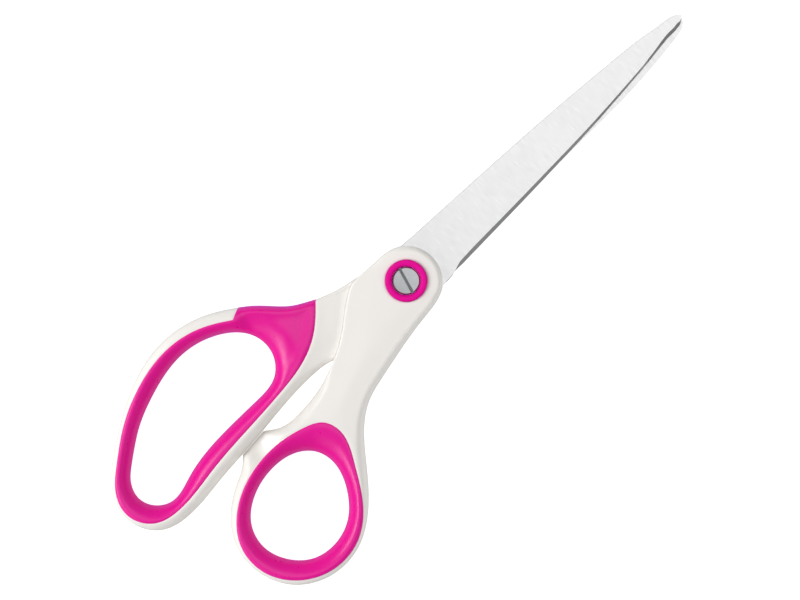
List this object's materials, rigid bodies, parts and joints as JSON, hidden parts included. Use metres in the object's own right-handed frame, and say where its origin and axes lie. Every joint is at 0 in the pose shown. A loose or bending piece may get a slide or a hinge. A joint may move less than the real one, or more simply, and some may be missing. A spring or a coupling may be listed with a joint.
{
  "type": "office scissors",
  "caption": "Office scissors with two steel blades on a slotted screw pivot, moulded handles and soft-lined finger and thumb loops.",
  "frame": {"origin": "on the pivot's axis, in the plane that the closed scissors rest on, at the flat back face of the pivot nut", "axes": "+X runs from the pivot to the blade tips, +Y to the side of the big finger loop, +Z out of the front face along the pivot's axis"},
  "size_m": [0.205, 0.0788, 0.011],
  "materials": {
    "blade_steel": "fine brushed, satin",
    "pivot_steel": "turned, satin",
    "white_plastic": "smooth satin moulding",
    "magenta_grip": "soft, satin"
  },
  "bodies": {
    "rear_half": {"rear_handle": "white_plastic", "finger_grip": "magenta_grip", "rear_blade": "blade_steel", "rear_pivot_ring": "magenta_grip", "pivot_nut": "pivot_steel", "pivot_screw": "pivot_steel", "spring_washer": "pivot_steel", "plain_washer": "pivot_steel"},
    "front_half": {"front_handle": "white_plastic", "thumb_grip": "magenta_grip", "front_blade": "blade_steel", "front_pivot_ring": "magenta_grip"}
  },
  "joints": [
    {"name": "blade_pivot", "type": "hinge", "parent": "rear_half", "child": "front_half", "pos_m": [0, 0, 0.0055], "axis": [0, 0, 1], "range_deg": [0, 80]}
  ]
}
